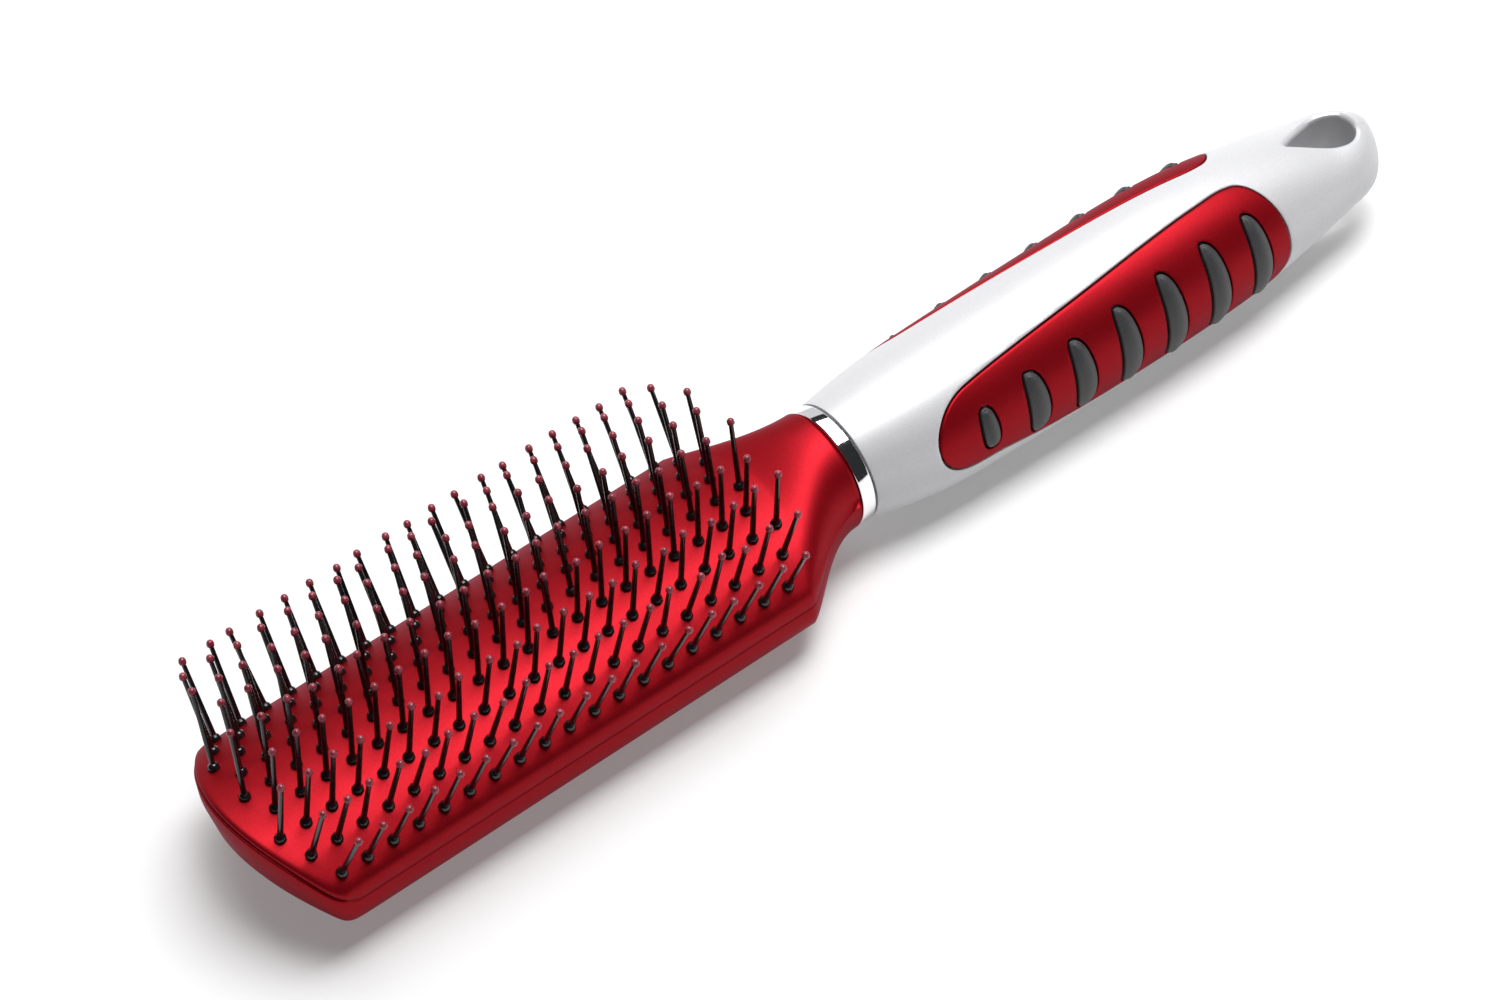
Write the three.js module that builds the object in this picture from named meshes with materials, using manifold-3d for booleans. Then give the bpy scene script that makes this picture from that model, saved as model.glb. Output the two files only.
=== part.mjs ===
// A styling hairbrush that lies on its back with the pins up.
// Millimetres, +Z up. +X runs from the toe of the head to the end of the handle.
// Y = 0 is the plane of symmetry, and Z = 0 is the surface that the brush lies on.
import * as THREE from 'three';
import { mergeVertices } from 'three/addons/utils/BufferGeometryUtils.js';
import Module from 'manifold-3d';

const wasm = await Module();
wasm.setup();

// ---------------------------------------------------------------- driving dimensions
const LENGTH = 227.1; // toe to handle end
const GAP = 0.3; // clearance between pieces that meet
const PITCH = 4.6; // distance from one pin to the next in a row

// Head
const FIRST_PIN_X = 4.83; // the centre row's first pin, from the toe
const CROWN_RADIUS = 29.2; // outer face of the crowned cover
const CROWN_TOP = 21.4; // height of the cover on the centre line
const HALF_WIDTH = 19.6; // cover, from the centre line to its side edge
const COVER_THICKNESS = 2.0;
const TOE_RADIUS = 28; // the toe's curve in plan
const HEEL_CENTRE_X = 99.5; // where the pin field ends on the centre line
const HEEL_SIDE_X = 95; // and at the side edges
const LIP = 0.1; // how far the cover overhangs the base along the sides
const TOE_LEDGE = 0.4; // how far the base stands out past the cover at the toe
const HULL_SHOULDER = 10.1; // height where the base turns from its wall to its belly
const BELLY_FLAT = 0.35; // share of the base's width that is flat underneath
const HULL_TOE_LENGTH = 20; // the belly rises towards the toe over this length
const TOE_WALL = 4; // from the crown down to the lower edge of the toe's wall
const BELLY_BLEND = 8; // how sharply the toe's rise and the rounded side meet
const WALL = 1.2; // base wall

// Pins
const ROWS = 9;
const ROW_STEP = 9; // degrees round the crown from row to row
const LEAN_STEP = 7; // degrees that each row leans out from the one before
const PIN_SIDES = 4;
const PIN_LENGTH = 13.9; // centre of the base ball to centre of the tip ball
const BALL_RADIUS = 0.95;
const SHAFT_RADIUS = 0.45;
const TIP_RADIUS = 0.64;
const END_ROW_PINS = 19; // in the outermost rows
const STRIP_WIDTH = 2.8;
const STRIP_END = 1.05; // strip beyond its end pins' centres
const STRIP_THICKNESS = 1.8;

// Neck, ring and tang
const RING_RADIUS = 10.35;
const RING_CENTRE_Z = 14.03;
const RING_X = 113.6; // middle of the ring
const RING_WIDTH = 2.6;
const TANG_RADIUS = 5;
const TANG_FROM_X = 101;
const TANG_TO_X = 133;
const TANG_SIDES = 16;
const RING_EDGE = 0.4; // round on the ring's edges
const RING_SIDES = 28;

// Handle: x, half width, top and underside at each station
const HANDLE_STATIONS = [
  [115.2, 10.35, 24.38, 3.68],
  [122.0, 11.7, 24.9, 2.1],
  [130.0, 12.7, 25.3, 0.9],
  [145.0, 13.1, 25.7, 0.2],
  [160.0, 13.3, 25.8, 0.0],
  [180.0, 13.3, 25.8, 0.0],
  [192.0, 12.8, 24.9, 0.4],
  [200.0, 11.9, 23.6, 1.1],
  [208.0, 10.9, 21.8, 2.7],
  [216.0, 9.7, 19.4, 4.8],
  [219.5, 9.1, 18.9, 5.2],
  [222.2, 8.1, 18.6, 5.5],
  [224.2, 6.5, 18.2, 6.0],
  [225.7, 4.6, 17.6, 6.6],
  [226.7, 2.5, 16.6, 7.7],
  [LENGTH, 1.2, 15.2, 9.2],
];
const HANDLE_SIDES = 28;
const HOLE_WIDEST_X = 219.6; // hanging hole
const HOLE_HALF_WIDTH = 3.9;
const HOLE_TIP_X = 209.6;
const HOLE_END_X = 223.4;
const HOLE_STEPS = 14;

// Grip panels and ribs, laid on the handle
const PANEL_DEPTH = 1.5;
const PANEL_SIDES = 5;
const GRIP_RADIUS = 13; // turns a clearance on the handle into an angle
const CUT_CLEAR = 3; // a cutter reaches this far past the surfaces that it cuts
const PANEL_STATIONS = [ // x, angle down from the top line to the upper and the lower edge
  [127.0, 68, 84],
  [128.2, 57, 94],
  [131.5, 44, 100],
  [137.0, 38, 104],
  [147.0, 33.5, 113],
  [160.0, 28.5, 122],
  [175.0, 22.5, 128],
  [187.0, 18, 130],
  [193.0, 17, 129],
  [197.0, 22, 125],
  [199.2, 42, 114],
  [200.0, 66, 96],
];
const RIBS = 7;
const FIRST_RIB_X = 136.4;
const RIB_STEP = 9.5;
const RIB_WIDTH = 4.0;
const FIRST_RIB_WIDTH = 3.2;
const RIB_EDGE_DROP = 0.5; // how much lower its two edges are than its middle
const RIB_TIP_DROP = 0.4; // and its two tips
const RIB_TIP_WIDTH = 0.3; // share of the width left at a rib's two tips
const RIB_PROUD = 0.7; // how far a rib stands above its panel
const RIB_BULGE = 0.7; // how far a rib bows towards the handle end
const RIB_TOP_FIRST = 60; // angle of the first rib's upper tip
const RIB_TOP_LAST = 41; // and of the last one's
const RIB_TOP_EASE = 0.7; // below 1, the tips climb early
const RIB_LOWER_MARGIN = 9; // degrees from a rib's lower tip to the panel's lower edge
const RIB_SEGMENTS = 5;

// ---------------------------------------------------------------- materials
const material = (color, roughness, metalness) =>
  new THREE.MeshStandardMaterial({ color, roughness, metalness });
const redLacquer = material(0xc81424, 0.3, 0.35);
const blackNylon = material(0x0c0a0b, 0.25, 0);
const mirrorChrome = material(0xe8e8ec, 0.05, 1);
const pearlSilver = material(0xe2e2e6, 0.35, 0.3);
const greyRubber = material(0x4a4a4c, 0.55, 0);
const plainPlastic = material(0x9a9a9a, 0.6, 0);

// ---------------------------------------------------------------- helpers
const radians = THREE.MathUtils.degToRad;
const mix = THREE.MathUtils.lerp;

function positionsOnly(geometry) {
  const plain = geometry.clone();
  plain.deleteAttribute('normal');
  plain.deleteAttribute('uv');
  return mergeVertices(plain, 1e-4);
}

function solid(geometry) {
  const merged = positionsOnly(geometry);
  const vertProperties = new Float32Array(merged.attributes.position.array);
  const triVerts = new Uint32Array(merged.index.array);
  return new wasm.Manifold(new wasm.Mesh({ numProp: 3, vertProperties, triVerts }));
}

function geometryOf(manifold) {
  const { numProp, vertProperties, triVerts } = manifold.getMesh();
  const positions = new Float32Array((vertProperties.length / numProp) * 3);
  for (let i = 0; i < positions.length / 3; i += 1) {
    positions.set(vertProperties.subarray(i * numProp, i * numProp + 3), i * 3);
  }
  const geometry = new THREE.BufferGeometry();
  geometry.setAttribute('position', new THREE.BufferAttribute(positions, 3));
  geometry.setIndex(new THREE.BufferAttribute(new Uint32Array(triVerts), 1));
  geometry.computeVertexNormals();
  return geometry;
}

// Moves every corner of a geometry: place(x, y, z) gives the new [x, y, z].
function reshape(geometry, place) {
  const shaped = positionsOnly(geometry);
  const position = shaped.attributes.position;
  for (let i = 0; i < position.count; i += 1) {
    position.setXYZ(i, ...place(position.getX(i), position.getY(i), position.getZ(i)));
  }
  return shaped;
}

// A box with columns x rows cells, reshaped by place(column, row, layer),
// where layer is 0 on the under face and 1 on the upper face.
function slab(columns, rows, place) {
  const box = new THREE.BoxGeometry(1, 1, 1, columns, rows, 1);
  return reshape(box, (x, y, z) =>
    place(Math.round((x + 0.5) * columns), Math.round((y + 0.5) * rows), Math.round(z + 0.5)));
}

// Piecewise-linear reading of stations [x, value1, value2, ...].
function readStations(stations, x) {
  let i = 1;
  while (i < stations.length - 1 && stations[i][0] < x) {
    i += 1;
  }
  const [low, high] = [stations[i - 1], stations[i]];
  const share = (x - low[0]) / (high[0] - low[0]);
  return low.slice(1).map((value, k) => mix(value, high[k + 1], share));
}

// ---------------------------------------------------------------- head
// The cover is crowned in flats, one per row of pins, and each flat is edged by these angles.
const CROWN_CENTRE_Z = CROWN_TOP - CROWN_RADIUS;
const SIDE_ANGLE = THREE.MathUtils.radToDeg(Math.asin(HALF_WIDTH / CROWN_RADIUS));
const crownAngles = [-SIDE_ANGLE];
for (let k = 0; k <= ROWS; k += 1) {
  crownAngles.push((k - ROWS / 2) * ROW_STEP);
}
crownAngles.push(SIDE_ANGLE);
const CROWN_STRIPS = crownAngles.length - 1;
const NECK_END_X = RING_X - RING_WIDTH / 2 - GAP;
const NECK_STEPS = 6;
const NECK_EASE = 1.2; // above 1, the head keeps its width longer before the neck
const HEAD_COLUMNS = 2 + NECK_STEPS;

const toeX = (y) => (y * y) / (2 * TOE_RADIUS);
const heelX = (y) => mix(HEEL_CENTRE_X, HEEL_SIDE_X, (y / HALF_WIDTH) ** 2);

// Column 0 follows the toe, 1 lies just behind it, 2 follows the heel, the rest run down the neck.
// narrowing is 0 over the pin field and 1 at the ring.
function headColumn(column, y) {
  if (column === 0) {
    return { x: toeX(y), narrowing: 0 };
  }
  if (column === 1) {
    return { x: HULL_TOE_LENGTH, narrowing: 0 };
  }
  const share = (column - 2) / NECK_STEPS;
  return {
    x: mix(heelX(y), NECK_END_X, share),
    narrowing: Math.sin((share * Math.PI) / 2) ** NECK_EASE,
  };
}

function crownPoint(angle, radius) {
  return [radius * Math.sin(radians(angle)), CROWN_CENTRE_Z + radius * Math.cos(radians(angle))];
}

function coverPoint(column, row, layer) {
  const angle = crownAngles[row];
  const across = crownPoint(angle, CROWN_RADIUS)[0];
  const { x, narrowing } = headColumn(column, across);
  const radius = layer ? CROWN_RADIUS : CROWN_RADIUS - COVER_THICKNESS;
  const z = CROWN_CENTRE_Z + Math.sqrt(radius ** 2 - across ** 2);
  const ringY = (across / HALF_WIDTH) * RING_RADIUS;
  const ringRise = Math.sqrt(Math.max(0, RING_RADIUS ** 2 - ringY ** 2));
  const ringZ = RING_CENTRE_Z + (layer ? Math.max(ringRise, GAP) : GAP / 2);
  const setBack = column === 0 ? TOE_LEDGE : 0;
  return [x + setBack, mix(across, ringY, narrowing), mix(z, ringZ, narrowing)];
}

// The base's share of the width runs from -1 to 1 on the same lines as the cover.
const baseShares = crownAngles.map((angle) => Math.sin(radians(angle)) / Math.sin(radians(SIDE_ANGLE)));
const BASE_HALF_WIDTH = HALF_WIDTH - LIP;

function bellyHeight(x, share) {
  const back = Math.min(1, Math.max(0, x / HULL_TOE_LENGTH));
  const crown = CROWN_CENTRE_Z + Math.sqrt(CROWN_RADIUS ** 2 - (share * HALF_WIDTH) ** 2);
  const rise = (crown - TOE_WALL) * (1 - Math.sqrt(1 - (1 - back) ** 2));
  const curve = (across) => 1 - Math.sqrt(Math.max(0, 1 - across ** 2));
  const round = HULL_SHOULDER * Math.max(0, curve(share) - curve(BELLY_FLAT));
  return (rise ** BELLY_BLEND + round ** BELLY_BLEND) ** (1 / BELLY_BLEND);
}

const BASE_TOE_STEPS = 5;
const BASE_COLUMNS = BASE_TOE_STEPS + 1 + NECK_STEPS;

function basePoint(column, row, layer) {
  const share = baseShares[row];
  const y = share * BASE_HALF_WIDTH;
  const underCover = CROWN_RADIUS - COVER_THICKNESS - GAP;
  const roof = CROWN_CENTRE_Z + Math.sqrt(underCover ** 2 - y ** 2) - GAP / 2;
  const toe = toeX(share * HALF_WIDTH);
  const inToe = column <= BASE_TOE_STEPS;
  const toeShare = 1 - Math.cos(((column / BASE_TOE_STEPS) * Math.PI) / 2);
  const neck = headColumn(column - BASE_TOE_STEPS + 1, share * HALF_WIDTH);
  const x = inToe ? mix(toe, HULL_TOE_LENGTH, toeShare) : neck.x;
  const narrowing = inToe ? 0 : neck.narrowing;
  const floor = Math.min(bellyHeight(inToe ? toeShare * HULL_TOE_LENGTH : x, share), roof - 1);
  const ringY = share * RING_RADIUS;
  const ringDrop = Math.sqrt(Math.max(0, RING_RADIUS ** 2 - ringY ** 2));
  const ringZ = RING_CENTRE_Z - (layer ? GAP / 2 : Math.max(ringDrop, GAP));
  return [x, mix(y, ringY, narrowing), mix(layer ? roof : floor, ringZ, narrowing)];
}

// A many-sided peg on a pin's line, from the first height to the second above its base ball.
function pegAlong(row, x, profile) {
  const lathe = new THREE.LatheGeometry(profile.map(([r, h]) => new THREE.Vector2(r, h)), PIN_SIDES);
  const [y, z] = crownPoint(row * ROW_STEP, CROWN_RADIUS);
  const lean = radians(row * LEAN_STEP);
  const peg = reshape(lathe, (px, py, pz) => [
    x + px,
    y - pz * Math.cos(lean) + py * Math.sin(lean),
    z + pz * Math.sin(lean) + py * Math.cos(lean),
  ]);
  return solid(peg);
}

// Places of the pins in a row. Rows are staggered by half a pitch.
// The outermost rows leave out both end pins.
function pinPlaces(row) {
  const outermost = Math.abs(row) === (ROWS - 1) / 2;
  const staggered = row % 2 !== 0;
  const first = outermost ? 1 : staggered ? 0.5 : 0;
  const count = outermost ? END_ROW_PINS : END_ROW_PINS + (staggered ? 1 : 2);
  return Array.from({ length: count }, (_, i) => FIRST_PIN_X + (first + i) * PITCH);
}

const rowNumbers = Array.from({ length: ROWS }, (_, i) => i - (ROWS - 1) / 2);
const holeRadius = BALL_RADIUS + GAP / Math.cos(Math.PI / PIN_SIDES);
const boreAlongX = (radius, fromX, toX) => {
  const bore = new THREE.CylinderGeometry(radius, radius, toX - fromX, TANG_SIDES);
  return solid(reshape(bore, (x, y, z) => [(fromX + toX) / 2 + y, z, RING_CENTRE_Z + x]));
};
const tangBore = boreAlongX(TANG_RADIUS + GAP, TANG_FROM_X - GAP, TANG_TO_X + GAP);

function headCover() {
  let cover = solid(slab(HEAD_COLUMNS, CROWN_STRIPS, coverPoint));
  const holeProfile = [
    [0, -CUT_CLEAR],
    [holeRadius, -CUT_CLEAR],
    [holeRadius, CUT_CLEAR],
    [0, CUT_CLEAR],
  ];
  for (const row of rowNumbers) {
    const holes = pinPlaces(row).map((x) => pegAlong(row, x, holeProfile));
    cover = holes.reduce((rest, hole) => rest.subtract(hole), cover);
  }
  return geometryOf(cover.subtract(tangBore));
}

function headBase() {
  const outside = solid(slab(BASE_COLUMNS, CROWN_STRIPS, basePoint));
  const cavity = slab(BASE_TOE_STEPS + 1, CROWN_STRIPS, (column, row, layer) => {
    const [x, y, z] = basePoint(Math.min(column, BASE_TOE_STEPS), row, 0);
    const shrink = 1 - WALL / BASE_HALF_WIDTH;
    const last = column === BASE_TOE_STEPS + 1;
    const insideX = WALL + x * (1 - WALL / HULL_TOE_LENGTH);
    const heel = heelX(baseShares[row] * HALF_WIDTH) - 2 * GAP;
    return [last ? heel : insideX, y * shrink, layer ? CROWN_TOP + CUT_CLEAR : z + WALL];
  });
  const base = outside.subtract(solid(cavity)).subtract(tangBore);
  return geometryOf(rowNumbers.reduce((rest, row) => rest.subtract(strip(row, GAP)), base));
}

// The flat strip that joins a row's pins under the cover, grown by a clearance.
function strip(row, grow) {
  const places = pinPlaces(row);
  const lean = radians(row * ROW_STEP);
  const topRadius = (CROWN_RADIUS - COVER_THICKNESS) * Math.cos(radians(ROW_STEP / 2)) - GAP;
  const length = places[places.length - 1] - places[0] + 2 * STRIP_END;
  const sizes = [length, STRIP_WIDTH, STRIP_THICKNESS].map((size) => size + 2 * grow);
  const middleX = (places[0] + places[places.length - 1]) / 2;
  return solid(reshape(new THREE.BoxGeometry(...sizes), (x, y, z) => {
    const radius = topRadius - STRIP_THICKNESS / 2 + z;
    return [
      middleX + x,
      radius * Math.sin(lean) + y * Math.cos(lean),
      CROWN_CENTRE_Z + radius * Math.cos(lean) - y * Math.sin(lean),
    ];
  }));
}

// One moulding per row: the strip with the row's pins standing on it.
function pinRow(row) {
  const pinProfile = [
    [0, -COVER_THICKNESS - STRIP_THICKNESS],
    [BALL_RADIUS, -COVER_THICKNESS - STRIP_THICKNESS],
    [BALL_RADIUS, BALL_RADIUS / 2],
    [SHAFT_RADIUS, BALL_RADIUS * 1.5],
    [TIP_RADIUS, PIN_LENGTH],
    [0, PIN_LENGTH + TIP_RADIUS],
  ];
  const pins = pinPlaces(row).map((x) => pegAlong(row, x, pinProfile));
  return geometryOf(pins.reduce((joined, pin) => joined.add(pin), strip(row, 0)));
}

// ---------------------------------------------------------------- ring and tang
function chromeRing() {
  const half = RING_WIDTH / 2;
  const inner = TANG_RADIUS + GAP;
  const profile = [
    [inner, -half],
    [RING_RADIUS - RING_EDGE, -half],
    [RING_RADIUS, -half + RING_EDGE],
    [RING_RADIUS, half - RING_EDGE],
    [RING_RADIUS - RING_EDGE, half],
    [inner, half],
    [inner, -half],
  ];
  const lathe = new THREE.LatheGeometry(profile.map(([r, h]) => new THREE.Vector2(r, h)), RING_SIDES);
  return reshape(lathe, (x, y, z) => [RING_X + y, z, RING_CENTRE_Z + x]);
}

function tang() {
  const length = TANG_TO_X - TANG_FROM_X;
  const rod = new THREE.CylinderGeometry(TANG_RADIUS, TANG_RADIUS, length, TANG_SIDES);
  return reshape(rod, (x, y, z) => [TANG_FROM_X + length / 2 + y, z, RING_CENTRE_Z + x]);
}

// ---------------------------------------------------------------- handle
// A point on the handle: angle is measured down from the top line, side is -1 or 1 in Y,
// and lift is the distance out from the surface.
function handlePoint(x, angle, side, lift) {
  const [halfWidth, top, under] = readStations(HANDLE_STATIONS, x);
  const halfHeight = (top - under) / 2;
  return [
    x,
    side * (halfWidth + lift) * Math.sin(radians(angle)),
    (top + under) / 2 + (halfHeight + lift) * Math.cos(radians(angle)),
  ];
}

function handleOutside() {
  const steps = HANDLE_STATIONS.length - 1;
  const cylinder = new THREE.CylinderGeometry(1, 1, 1, HANDLE_SIDES, steps);
  return reshape(cylinder, (cx, cy, cz) => {
    const [x, halfWidth, top, under] = HANDLE_STATIONS[Math.round((cy + 0.5) * steps)];
    return [x, cz * halfWidth, (top + under) / 2 + (cx * (top - under)) / 2];
  });
}

function hangingHole() {
  const length = HOLE_END_X - HOLE_TIP_X;
  const power = Math.log(0.5) / Math.log((HOLE_WIDEST_X - HOLE_TIP_X) / length);
  const halfWidth = (share) => HOLE_HALF_WIDTH * Math.sqrt(Math.sin(Math.PI * share ** power));
  const outline = new THREE.Shape();
  outline.moveTo(0, 0);
  for (let k = 1; k < 2 * HOLE_STEPS; k += 1) {
    const turn = (k / (2 * HOLE_STEPS)) * 2 * Math.PI;
    const share = (1 - Math.cos(turn)) / 2;
    outline.lineTo(share * length, k < HOLE_STEPS ? -halfWidth(share) : halfWidth(share));
  }
  outline.closePath();
  const prism = new THREE.ExtrudeGeometry(outline, { depth: 2 * CROWN_TOP, bevelEnabled: false });
  prism.translate(HOLE_TIP_X, 0, -CUT_CLEAR);
  return solid(prism);
}

// A patch of the grip panel's outline: grow widens it all round, in millimetres.
function panelPatch(side, grow, fromLift, toLift) {
  const columns = PANEL_STATIONS.length - 1;
  const growAngle = THREE.MathUtils.radToDeg(grow / GRIP_RADIUS);
  return slab(columns, PANEL_SIDES, (column, row, layer) => {
    const [x, upper, lower] = PANEL_STATIONS[column];
    const share = side > 0 ? 1 - row / PANEL_SIDES : row / PANEL_SIDES;
    const angle = mix(lower + growAngle, upper - growAngle, share);
    const ends = column === 0 ? -grow : column === columns ? grow : 0;
    return handlePoint(x + ends, angle, side, layer ? toLift : fromLift);
  });
}

// A rib: a crescent that wraps round the side of the handle.
function ribPatch(index, side, grow, fromLift, toLift) {
  const along = index / (RIBS - 1);
  const middleX = FIRST_RIB_X + index * RIB_STEP;
  const upper = mix(RIB_TOP_FIRST, RIB_TOP_LAST, along ** RIB_TOP_EASE);
  const lower = readStations(PANEL_STATIONS, middleX)[1] - RIB_LOWER_MARGIN;
  const width = index === 0 ? FIRST_RIB_WIDTH : RIB_WIDTH;
  const growAngle = THREE.MathUtils.radToDeg(grow / GRIP_RADIUS);
  return slab(2, RIB_SEGMENTS, (column, row, layer) => {
    const share = side > 0 ? 1 - row / RIB_SEGMENTS : row / RIB_SEGMENTS;
    const angle = mix(lower + growAngle, upper - growAngle, share);
    const swell = Math.sin(Math.PI * share);
    const halfWidth = (width / 2) * mix(RIB_TIP_WIDTH, 1, Math.sqrt(swell)) + grow;
    const bow = index === 0 ? 0 : RIB_BULGE * (swell - 0.5);
    const edgeDrop = column === 1 ? 0 : RIB_EDGE_DROP;
    const tipDrop = RIB_TIP_DROP * (1 - Math.sqrt(swell));
    const lift = layer ? toLift - edgeDrop - tipDrop : fromLift;
    return handlePoint(middleX + bow + (column - 1) * halfWidth, angle, side, lift);
  });
}

const ribIndexes = Array.from({ length: RIBS }, (_, i) => i);

function handleBody() {
  let body = solid(handleOutside());
  for (const side of [-1, 1]) {
    body = body.subtract(solid(panelPatch(side, GAP, -PANEL_DEPTH - GAP, CUT_CLEAR)));
  }
  return geometryOf(body.subtract(hangingHole()).subtract(tangBore));
}

function gripPanel(side) {
  let panel = solid(panelPatch(side, 0, -PANEL_DEPTH, 0));
  for (const index of ribIndexes) {
    panel = panel.subtract(solid(ribPatch(index, side, GAP, -CUT_CLEAR, CUT_CLEAR)));
  }
  return geometryOf(panel);
}

// ---------------------------------------------------------------- the brush
const brush = new THREE.Group();

function add(name, geometry, look) {
  const mesh = new THREE.Mesh(geometry, look);
  mesh.name = name;
  mesh.position.x = -LENGTH / 2;
  brush.add(mesh);
}

add('head_cover', headCover(), redLacquer);
add('head_base', headBase(), redLacquer);
rowNumbers.forEach((row, i) => add(`pin_row_${i + 1}`, pinRow(row), blackNylon));
add('neck_ring', chromeRing(), mirrorChrome);
add('tang', tang(), plainPlastic);
add('handle_body', handleBody(), pearlSilver);
for (const [hand, side] of [['right', -1], ['left', 1]]) {
  add(`grip_panel_${hand}`, gripPanel(side), redLacquer);
  for (const index of ribIndexes) {
    const rib = ribPatch(index, side, 0, -PANEL_DEPTH, RIB_PROUD);
    add(`grip_rib_${hand}_${index + 1}`, rib, greyRubber);
  }
}

export default brush;
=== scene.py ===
# %% [markdown]
# # A styling hairbrush
# The brush lies on its back with its pins up: a crowned red head, nine rows of
# ball-tipped pins, a chrome neck ring and a silver handle with ribbed red grips.
# This lesson builds its looks around the plain solids of the part. Opening the
# frame comes first, because every piece is placed and measured against it.
# The solids stay as they are. Each visible one is stood in for by a finer mesh.

# %% Open the frame
import math
import random

import bmesh
import bpy
from mathutils import Matrix, Vector


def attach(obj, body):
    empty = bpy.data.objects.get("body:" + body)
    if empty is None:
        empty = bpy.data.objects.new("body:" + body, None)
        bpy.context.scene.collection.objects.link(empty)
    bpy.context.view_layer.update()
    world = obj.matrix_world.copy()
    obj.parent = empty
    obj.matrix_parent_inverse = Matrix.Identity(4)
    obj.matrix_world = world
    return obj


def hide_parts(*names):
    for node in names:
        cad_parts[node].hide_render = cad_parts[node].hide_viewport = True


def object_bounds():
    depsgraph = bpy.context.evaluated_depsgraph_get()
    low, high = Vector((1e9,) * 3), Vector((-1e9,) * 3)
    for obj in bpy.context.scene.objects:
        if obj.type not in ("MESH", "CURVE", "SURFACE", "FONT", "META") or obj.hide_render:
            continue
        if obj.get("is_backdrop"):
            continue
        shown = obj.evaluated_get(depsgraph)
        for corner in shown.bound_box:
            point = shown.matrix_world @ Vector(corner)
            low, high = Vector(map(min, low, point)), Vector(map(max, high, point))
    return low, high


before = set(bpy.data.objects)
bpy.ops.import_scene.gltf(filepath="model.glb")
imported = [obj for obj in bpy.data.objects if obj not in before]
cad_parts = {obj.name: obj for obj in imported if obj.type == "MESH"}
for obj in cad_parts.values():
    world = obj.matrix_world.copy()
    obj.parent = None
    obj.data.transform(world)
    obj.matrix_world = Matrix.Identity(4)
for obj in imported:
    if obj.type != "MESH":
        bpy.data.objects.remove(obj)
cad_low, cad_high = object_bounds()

print("solids:", len(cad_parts), "box in mm:", [round(c * 1000, 1) for c in cad_high - cad_low])

# %% [markdown]
# ## Camera
# The brush is seen from its toe end, from above, through a long lens that keeps
# its lines nearly parallel. The camera's three axes are written as the columns of
# a matrix, which holds the small tilt of the view as well as its direction.

# %% Place the camera
RIGHT = Vector((0.7890, -0.6053, -0.1052))
UP = Vector((0.4978, 0.5294, 0.6870))
BACK = Vector((-0.3602, -0.5944, 0.7190))
camera_data = bpy.data.cameras.new("camera")
camera_data.lens = 108.2
camera_data.sensor_width = 36
camera_data.clip_start = 0.01
camera = bpy.data.objects.new("camera", camera_data)
bpy.context.scene.collection.objects.link(camera)
facing = Matrix((RIGHT, UP, BACK)).transposed().to_4x4()
camera.matrix_world = Matrix.Translation((-0.26705, -0.4156, 0.5201)) @ facing
bpy.context.scene.camera = camera
print("camera distance in mm:", round(camera.location.length * 1000))

# %% [markdown]
# ## Floor and light
# The brush lies in a white studio. A broad soft panel overhead, a little behind the
# brush, gives most of the light, and a strip along its front edge adds to it. The
# near walls fall into shade, and the chrome shows a dark band where it mirrors the
# unlit room in front. A dim wide panel far behind lifts the far slopes. One bright
# dome would be simpler, but it would light the near walls as much as the rest. The
# floor glows a little by itself, which keeps its shadows pale.

# %% Make the floor
def procedural(name):
    """A new node material: its nodes, its links and its main shader."""
    material = bpy.data.materials.new(name)
    material.use_nodes = True
    tree = material.node_tree
    return material, tree.nodes, tree.links, tree.nodes["Principled BSDF"]


def paper_white():
    material, nodes, links, shader = procedural("paper_white")
    shader.inputs["Base Color"].default_value = (0.62, 0.62, 0.62, 1)
    shader.inputs["Roughness"].default_value = 0.9
    shader.inputs["Specular IOR Level"].default_value = 0.1
    shader.inputs["Emission Color"].default_value = (1, 1, 1, 1)
    shader.inputs["Emission Strength"].default_value = 0.22
    return material


def add_floor():
    mesh = bpy.data.meshes.new("floor")
    bm = bmesh.new()
    bmesh.ops.create_grid(bm, x_segments=1, y_segments=1, size=4)
    bm.to_mesh(mesh)
    bm.free()
    floor = bpy.data.objects.new("floor", mesh)
    floor.location.z = -0.0002
    mesh.materials.append(paper_white())
    bpy.context.scene.collection.objects.link(floor)
    floor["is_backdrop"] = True


add_floor()

# %% Hang the lights
def soft_panel(name, place, aim, width, depth, watts):
    data = bpy.data.lights.new(name, "AREA")
    data.shape = "RECTANGLE"
    data.size = width
    data.size_y = depth
    data.energy = watts
    panel = bpy.data.objects.new(name, data)
    panel.location = place
    panel.rotation_euler = (Vector(aim) - Vector(place)).to_track_quat("-Z", "Y").to_euler()
    bpy.context.scene.collection.objects.link(panel)


soft_panel("overhead_panel", (0.35, 0.28, 1.0), (0.35, 0.28, 0), 1.0, 1.15, 13)
soft_panel("front_strip", (0.3, -0.08, 0.99), (0.3, -0.08, 0), 0.7, 0.42, 9)
soft_panel("back_panel", (0.5, 1.6, 0.55), (0.5, 0, 0.55), 3.0, 1.1, 7)

world = bpy.data.worlds.new("room")
world.use_nodes = True
world.node_tree.nodes["Background"].inputs["Color"].default_value = (0.9, 0.93, 1, 1)
world.node_tree.nodes["Background"].inputs["Strength"].default_value = 0.03
bpy.context.scene.world = world
bpy.context.scene.view_settings.view_transform = "Standard"

# %% [markdown]
# ## Measures
# All sizes are in millimetres from the toe, the centre line and the table, because
# that is how a moulder would write them. One function turns them into the frame's
# metres, and another reads a smooth curve through a short list of stations.

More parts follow.
